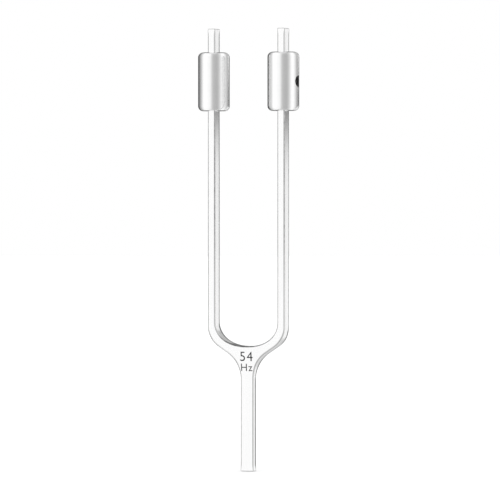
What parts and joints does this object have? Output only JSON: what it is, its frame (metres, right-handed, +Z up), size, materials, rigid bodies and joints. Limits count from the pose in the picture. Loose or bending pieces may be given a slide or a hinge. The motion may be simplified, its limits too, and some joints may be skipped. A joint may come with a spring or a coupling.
{
  "type": "tuning fork",
  "caption": "Low-pitch tuning fork in one steel bar, flat handle below a U of rectangular tines, with cylindrical weights that slide along the tines and lock with socket set screws.",
  "frame": {"origin": "centre of the handle's foot face", "axes": "+Z up along the fork from the foot to the tine tips, X from the left tine to the right tine in the plane in which the tines swing, +Y towards the back across the bar's depth"},
  "size_m": [0.0778, 0.0232, 0.325],
  "materials": {
    "fork_steel": "polished",
    "weight_steel": "satin",
    "screw_steel": "satin"
  },
  "bodies": {
    "fork": {"fork": "fork_steel"},
    "left_weight": {"left_weight": "weight_steel"},
    "right_weight": {"right_weight": "weight_steel"},
    "left_set_screw": {"left_set_screw": "screw_steel"},
    "right_set_screw": {"right_set_screw": "screw_steel"}
  },
  "joints": [
    {"name": "left_weight_slide", "type": "slide", "parent": "fork", "child": "left_weight", "axis": [0, 0, 1], "range_m": [-0.15, 0.017]},
    {"name": "right_weight_slide", "type": "slide", "parent": "fork", "child": "right_weight", "axis": [0, 0, 1], "range_m": [-0.15, 0.017]},
    {"name": "left_set_screw_turn", "type": "hinge", "parent": "left_weight", "child": "left_set_screw", "pos_m": [-0.0335, 0, 0.2861], "axis": [-1, 0, 0], "range_deg": [0, 720]},
    {"name": "right_set_screw_turn", "type": "hinge", "parent": "right_weight", "child": "right_set_screw", "pos_m": [0.0335, 0, 0.2861], "axis": [1, 0, 0], "range_deg": [0, 720]}
  ]
}
